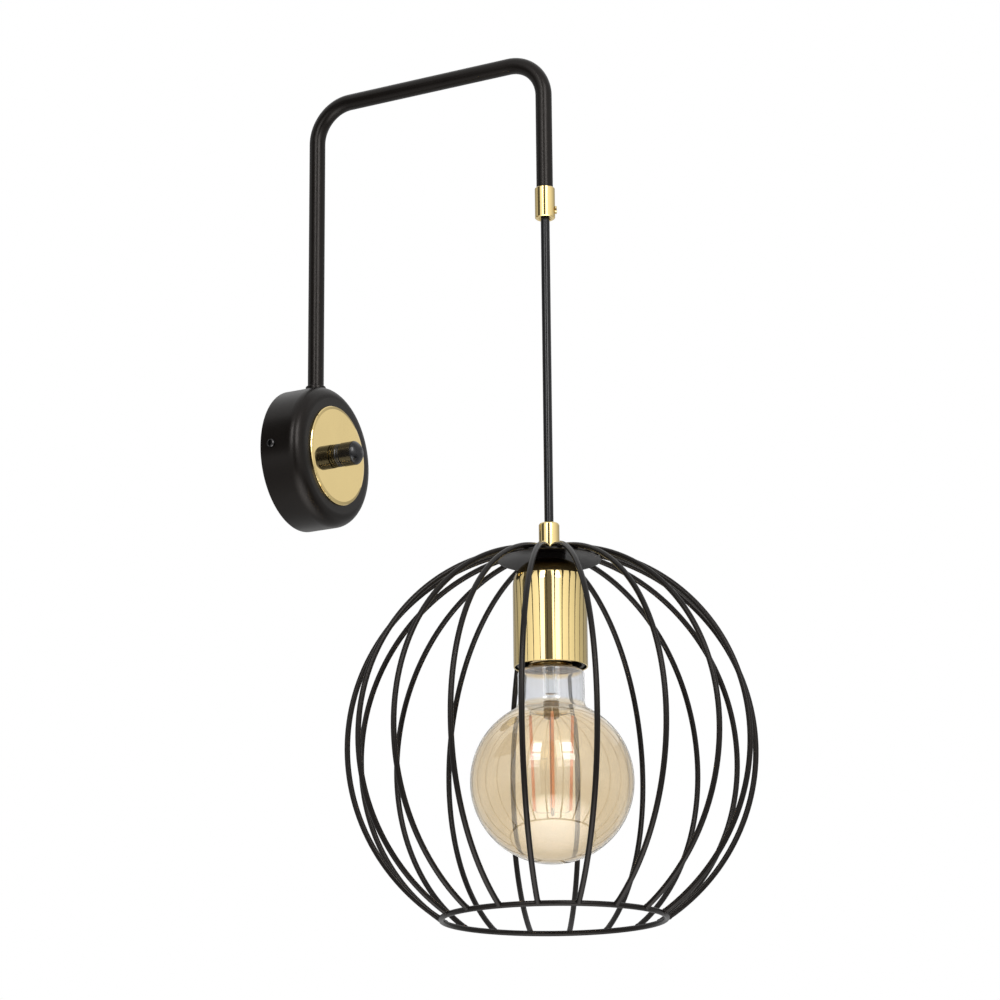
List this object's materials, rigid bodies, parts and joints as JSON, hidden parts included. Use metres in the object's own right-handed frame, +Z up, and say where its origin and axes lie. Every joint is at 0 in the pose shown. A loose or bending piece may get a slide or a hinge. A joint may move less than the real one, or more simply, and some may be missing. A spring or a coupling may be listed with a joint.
{
  "type": "cage wall light",
  "caption": "Wall light with a round base and rotary switch, a bent tube arm, and a ball-shaped wire cage pendant with a brass lamp cup hanging on its cable.",
  "frame": {"origin": "centre of the round wall base, on the wall's face", "axes": "+Y points into the wall and -Y out into the room, +Z is up, and +X is to the right for someone who faces the wall. The arm and the cable lie in the plane X = 0."},
  "size_m": [0.24, 0.2932, 0.535],
  "materials": {
    "black_paint": "fine satin black powder coat",
    "brass": "polished and lacquered",
    "contact_brass": "plain stamped sheet",
    "zinc": "zinc plated",
    "black_screw": "black oxide",
    "knob": "gloss black",
    "black_plastic": "moulded",
    "white_plastic": "moulded",
    "cable": "smooth black sheath",
    "leads": "blue and brown insulation",
    "bulb_cap_metal": "nickel plated",
    "bulb_black": "black glass insulator",
    "amber_glass": "amber tinted, clear",
    "clear_glass": "clear",
    "light_strip": "orange coating"
  },
  "bodies": {
    "wall_part": {"wall_bracket": "zinc", "base_shell": "black_paint", "side_screws": "black_screw", "earth_screw": "brass", "terminal_block": "white_plastic", "terminal_screws": "zinc", "block_screw": "zinc", "base_leads": "leads", "brass_disc": "brass", "ring_nut": "knob", "switch_body": "black_plastic", "arm_tube": "black_paint", "arm_flange": "black_paint", "arm_nut": "zinc", "arm_cable": "cable", "arm_collar": "brass", "collar_screw": "brass"},
    "knob": {"switch_knob": "knob", "switch_spindle": "zinc"},
    "cable_top": {"cable_bend": "cable"},
    "cable": {"pendant_cable": "cable"},
    "cage": {"ferrule": "brass", "ferrule_screw": "brass", "threaded_nipple": "zinc", "cage_plate": "black_paint", "cage_wires": "black_paint", "cage_ring": "black_paint", "plate_spacer": "black_paint", "lamp_cup": "brass", "cup_nut": "zinc", "holder_cap": "black_plastic", "holder_body": "black_plastic", "holder_insert": "white_plastic", "screw_shell": "contact_brass", "centre_contact": "contact_brass", "contact_screws": "zinc", "holder_leads": "leads"},
    "bulb_thread": {"bulb_tip": "bulb_cap_metal"},
    "bulb": {"bulb_insulator": "bulb_black", "bulb_cap": "bulb_cap_metal", "bulb_glass": "amber_glass", "bulb_stem": "clear_glass", "strip_wires": "zinc", "light_strips": "light_strip"}
  },
  "joints": [
    {"name": "knob_turn", "type": "hinge", "parent": "wall_part", "child": "knob", "pos_m": [0, -0.0325, 0], "axis": [0, -1, 0], "continuous": true},
    {"name": "swing_out", "type": "hinge", "parent": "wall_part", "child": "cable_top", "pos_m": [0, -0.175, 0.128], "axis": [1, 0, 0], "range_deg": [-25, 9]},
    {"name": "swing_side", "type": "hinge", "parent": "cable_top", "child": "cable", "pos_m": [0, -0.175, 0.128], "axis": [0, 1, 0], "range_deg": [-25, 25]},
    {"name": "cage_twist", "type": "hinge", "parent": "cable", "child": "cage", "pos_m": [0, -0.175, -0.063], "axis": [0, 0, 1], "range_deg": [-45, 45], "stiffness_Nm_per_rad": 0.01},
    {"name": "bulb_travel", "type": "slide", "parent": "cage", "child": "bulb_thread", "axis": [0, 0, -1], "range_m": [0, 0.01089]},
    {"name": "bulb_turn", "type": "hinge", "parent": "bulb_thread", "child": "bulb", "pos_m": [0, -0.175, -0.1227], "axis": [0, 0, -1], "range_deg": [0, 1080]}
  ],
  "couplings": [
    {"joint": "bulb_travel", "follows": "bulb_turn", "m_per_rad": 0.00057773}
  ]
}
